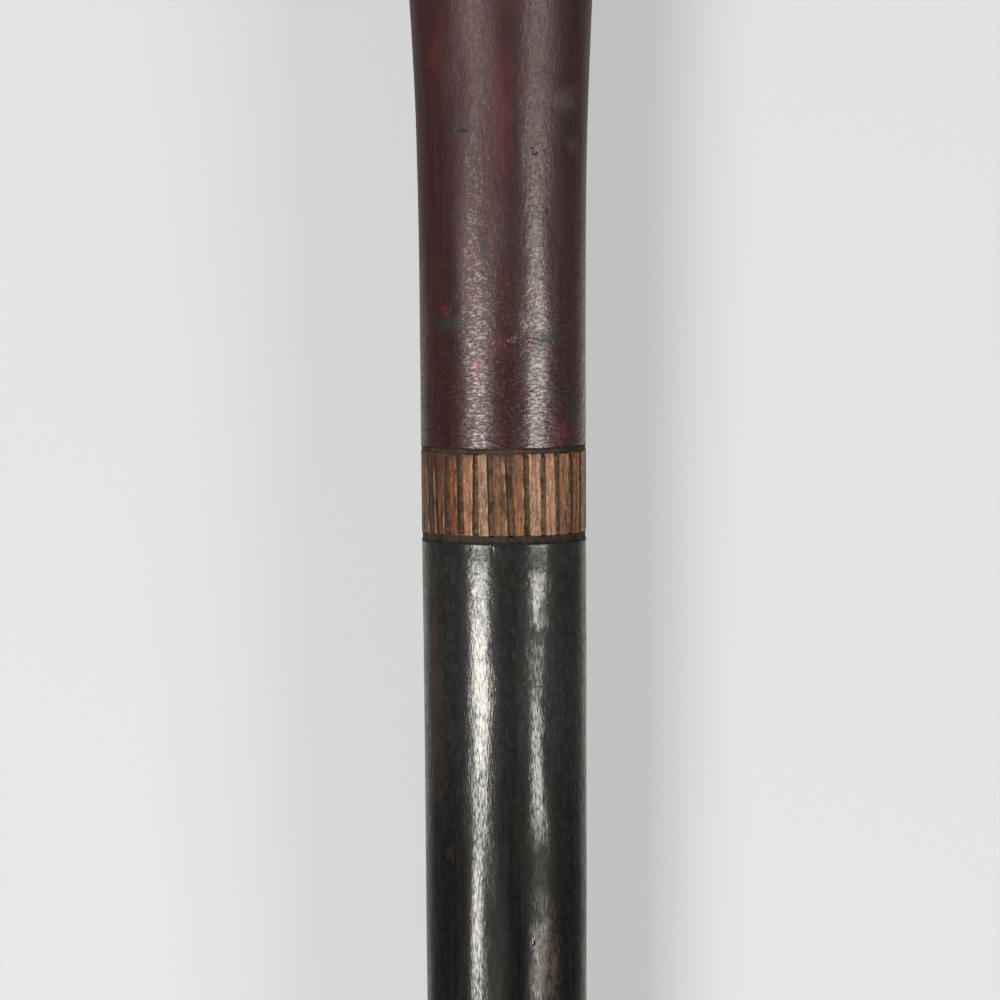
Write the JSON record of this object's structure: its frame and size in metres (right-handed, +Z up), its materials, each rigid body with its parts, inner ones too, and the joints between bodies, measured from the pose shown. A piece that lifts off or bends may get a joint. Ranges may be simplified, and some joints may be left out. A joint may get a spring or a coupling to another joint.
{
  "type": "linguist staff",
  "caption": "Long round ceremonial staff of carved, painted wood, with fluted bands of bare wood, a flared neck and an egg-shaped knob, lying on its side.",
  "frame": {"origin": "on the surface the staff lies on, under the middle of its box", "axes": "+X along the staff towards its knob, +Z up from the surface; the axis of the staff climbs half a degree towards the knob, because the collar is wider than the foot"},
  "size_m": [1.5, 0.063, 0.0626],
  "materials": {
    "painted_wood": "satin paint in dark red and black, hand-worn, with fluted bands left as bare wood"
  },
  "bodies": {
    "root": {"staff": "painted_wood"}
  },
  "joints": []
}
